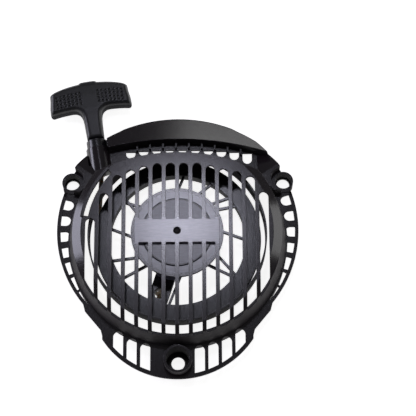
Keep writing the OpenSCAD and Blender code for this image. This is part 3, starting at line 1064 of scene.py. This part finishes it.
@dataclass
class PullHandle:
    """The T-shaped grip with its plug."""

    shop: Shop
    width: float = 84.0
    thickness: float = 19.0
    top: float = 66.35
    edge_round: float = 4.6
    voxel: float = 0.36
    smoothing: int = 16

    def build(self) -> None:
        """Make the grip and dress its plug."""
        dress(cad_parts["handle_plug"], self.shop.keeper)
        obj = self._grip()
        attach(obj, "handle")
        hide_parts("handle_grip")

    def _outline(self) -> np.ndarray:
        """Half of the T in plan, from the stem's foot to the crown of the grip, then mirrored."""
        h = self.width / 2
        right = [
            (0.0, 1.2),
            (8.9, 1.2),
            (9.2, 12.0),
            (9.4, 20.0),
            (9.9, 26.0),
            (11.1, 30.4),
            (13.2, 33.3),
            (15.9, 35.0),
            (19.5, 35.4),
        ]
        for a in np.linspace(0.0, 1.0, 9)[1:]:
            x = 19.5 + a * (h - 4.0 - 19.5)
            low = -56.5 + math.sqrt(90.0**2 - (x - 30.0) ** 2)
            right.append((x, low + 2.4 * (1 - a)))
        edge_low = right[-1][1]
        right += [
            (h - 2.2, edge_low + 0.5),
            (h - 1.3, edge_low + 2.2),
            (h - 1.5, edge_low + 9),
            (h - 2.6, edge_low + 17),
        ]
        top_edge = self.top - 96 + math.sqrt(96**2 - (h - 3.6) ** 2)
        right += [(h - 3.0, top_edge - 1.6), (h - 4.6, top_edge - 0.1)]
        for x in np.linspace(h - 7.5, 0.0, 12):
            right.append((float(x), self.top - 96 + math.sqrt(96**2 - x**2)))
        half = np.array(right)
        mirrored = half[1:-1][::-1] * (-1, 1)
        return np.concatenate([half, mirrored])

    def _depth(self, along: np.ndarray) -> np.ndarray:
        """Half thickness of the grip at each distance along the stem."""
        return np.interp(
            along,
            [0, 10, 20, 28, 34, 50, 60, 64, self.top + 1],
            [7.0, 7.3, 7.8, 8.6, 9.4, 9.5, 9.1, 7.9, 5.6],
        )

    def _crowned(self, plan: np.ndarray, outline: np.ndarray) -> np.ndarray:
        """Share of the full thickness left near the edge of the T, so that its section is a rounded oval.

        Args:
            plan: rows of across and along in millimetres.
            outline: the edge of the T, in order.

        Returns:
            One number for each row, 1 away from the edge.
        """
        nearest = np.full(len(plan), 1e9)
        for start, end in zip(outline, np.roll(outline, -1, axis=0)):
            way = end - start
            share = np.clip((plan - start) @ way / max(way @ way, 1e-9), 0, 1)
            nearest = np.minimum(nearest, np.linalg.norm(plan - start - share[:, None] * way, axis=1))
        bend = 1 - np.clip(nearest / self.edge_round, 0, 1)
        oval = 0.3 + 0.7 * np.sqrt(1 - bend**2)
        boss = np.clip((plan[:, 1] - self.top + 12) / 4, 0, 1) * np.clip((11 - np.abs(plan[:, 0])) / 3, 0, 1)
        return np.maximum(oval, boss)

    def _dimples(self, across: np.ndarray, along: np.ndarray) -> np.ndarray:
        """Depth of the pressed dots on both faces of the wings.

        Args:
            across: distance from the stem's middle line.
            along: distance out of the guide mouth.

        Returns:
            Depth in millimetres at each point.
        """
        depth = np.zeros_like(across)
        for side in (-1, 1):
            for i in range(7):
                for j in range(4):
                    x = side * (9.5 + i * 4.1)
                    y = 41.5 + j * 4 - ((9.5 + i * 4.1) / 42) ** 2 * 4
                    d = np.maximum(
                        np.abs(across - x),
                        np.abs(along - y),
                    ) * 0.5 + np.hypot(across - x, along - y) * 0.5
                    depth = np.maximum(depth, 1.3 * np.clip((1.35 - d) / 0.4, 0, 1))
        return depth

    def _grip(self) -> bpy.types.Object:
        """Round the T into a moulded grip, then press the dots."""
        outline = self._outline()
        count = len(outline)
        half = self.thickness / 2
        low = np.column_stack([outline, np.full(count, -half)])
        high = np.column_stack([outline, np.full(count, half)])
        faces = [tuple(range(count - 1, -1, -1)), tuple(range(count, 2 * count))]
        faces += [(k, (k + 1) % count, count + (k + 1) % count, count + k) for k in range(count)]
        obj = mesh_piece("grip", np.concatenate([low, high]), faces, self.shop.grip)
        fix_winding(obj)
        remesh = obj.modifiers.new("even_skin", "REMESH")
        remesh.mode = "VOXEL"
        remesh.voxel_size = self.voxel * MM
        apply_modifiers(obj)
        mesh = obj.data
        count = len(mesh.vertices)
        points = np.zeros(count * 3)
        mesh.vertices.foreach_get("co", points)
        points = points.reshape(-1, 3) / MM
        points[:, 2] *= self._depth(points[:, 1]) / half * self._crowned(points[:, :2], outline)
        edges = np.zeros(len(mesh.edges) * 2, int)
        mesh.edges.foreach_get("vertices", edges)
        edges = edges.reshape(-1, 2)
        degree = np.bincount(edges.ravel(), minlength=count)[:, None]
        for _ in range(self.smoothing):
            total = np.zeros_like(points)
            np.add.at(total, edges[:, 0], points[edges[:, 1]])
            np.add.at(total, edges[:, 1], points[edges[:, 0]])
            points = points * 0.4 + total / degree * 0.6
        reach = np.abs(points[:, 0]).max()
        points[:, 0] *= 1 + (self.width / 2 + 0.6 - reach) / reach * np.clip(
            (np.abs(points[:, 0]) - 10) / 12,
            0,
            1,
        )
        face = np.clip((np.abs(points[:, 2]) - self._depth(points[:, 1]) + 2.6) / 0.8, 0, 1)
        points[:, 2] -= np.sign(points[:, 2]) * face * self._dimples(points[:, 0], points[:, 1])
        placed = on_handle_line(points[:, 0], points[:, 1], points[:, 2]) * MM
        mesh.vertices.foreach_set("co", placed.ravel())
        mesh.polygons.foreach_set("use_smooth", [True] * len(mesh.polygons))
        mesh.update()
        dress(obj, self.shop.grip)
        return obj


@dataclass
class PulleyUnit:
    """The pulley, its keeper and springs."""

    shop: Shop

    def build(self) -> None:
        """Dress the moulded pieces and make the springs."""
        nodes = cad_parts
        dress(nodes["pulley"], self.shop.pulley)
        dress(nodes["spring_keeper"], self.shop.keeper)
        dress(nodes["recoil_spring"], self.shop.spring)
        dress(nodes["brake_washer"], self.shop.zinc)
        for name in ("pawl_spring_1", "pawl_spring_2"):
            dress(nodes[name], self.shop.wire)
        self._brake_spring()

    def _brake_spring(self) -> None:
        """Three turns of round wire with flat ends."""
        turn = np.linspace(0, 3, 260)
        rise = np.interp(turn, [0, 0.4, 2.6, 3.0], [0.0, 0.1, 2.3, 2.4])
        path = np.stack(
            [11.5 * np.cos(turn * 2 * math.pi), 11.5 * np.sin(turn * 2 * math.pi), 10.3 + rise],
            axis=1,
        )
        obj = tube_piece("brake_coil", path, 0.6, 12, self.shop.wire)
        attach(obj, "pulley")
        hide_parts("brake_spring")


@dataclass
class DriveEnd:
    """The retainer plate and the two pawls."""

    shop: Shop

    def build(self) -> None:
        """Dress the plate and the pawls."""
        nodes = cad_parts
        dress(nodes["retainer_plate"], self.shop.zinc)
        dress(nodes["pawl_1"], self.shop.pawl)
        dress(nodes["pawl_2"], self.shop.pawl)


def main() -> None:
    """Build the studio and every sub-assembly in order."""
    logging.basicConfig(level=logging.INFO, format="%(name)s: %(message)s")
    Studio().build()
    shop = Shop()
    for unit in (HousingUnit(shop), PulleyUnit(shop), RopeUnit(shop), PullHandle(shop), DriveEnd(shop)):
        unit.build()
        log.info("built %s", type(unit).__name__)


if __name__ == "__main__":
    main()
